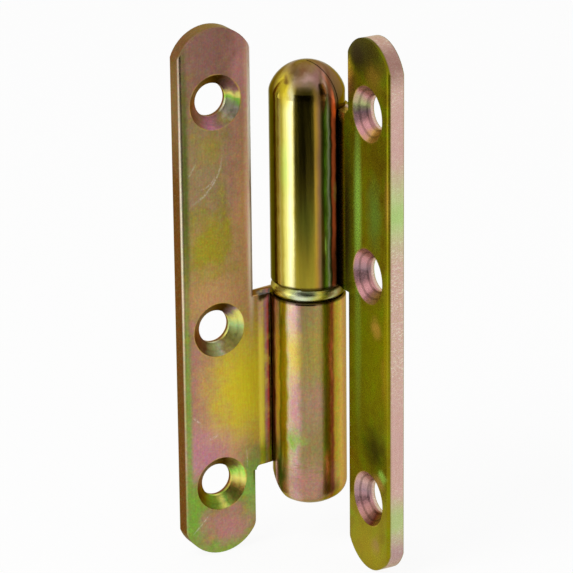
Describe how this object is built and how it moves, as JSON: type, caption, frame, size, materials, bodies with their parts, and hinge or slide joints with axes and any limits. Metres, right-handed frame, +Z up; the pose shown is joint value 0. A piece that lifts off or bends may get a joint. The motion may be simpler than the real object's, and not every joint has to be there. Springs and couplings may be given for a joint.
{
  "type": "lift-off hinge",
  "caption": "Pressed steel lift-off hinge with round-ended countersunk leaves, rolled and domed knuckles, a fixed pin and a spacer ring; the upper leaf swings and lifts off.",
  "frame": {"origin": "centre of the lower leaf's back face, midway between its outer screw holes", "axes": "+Z up along the pin, +Y out of the lower leaf's back face, +X from the leaf towards the pin"},
  "size_m": [0.0341, 0.0341, 0.11],
  "materials": {
    "leaf_finish": "yellow passivated zinc plate on pressed steel",
    "ring_finish": "yellow passivated zinc plate, bright",
    "pin_finish": "plain bright steel"
  },
  "bodies": {
    "lower": {"lower_leaf": "leaf_finish", "hinge_pin": "pin_finish"},
    "ring": {"ring": "ring_finish"},
    "upper": {"upper_leaf": "leaf_finish"}
  },
  "joints": [
    {"name": "swing", "type": "hinge", "parent": "lower", "child": "ring", "pos_m": [0.0187, -0.0062, 0], "axis": [0, 0, 1], "range_deg": [-90, 180]},
    {"name": "lift_off", "type": "slide", "parent": "ring", "child": "upper", "axis": [0, 0, 1], "range_m": [0, 0.04]}
  ]
}
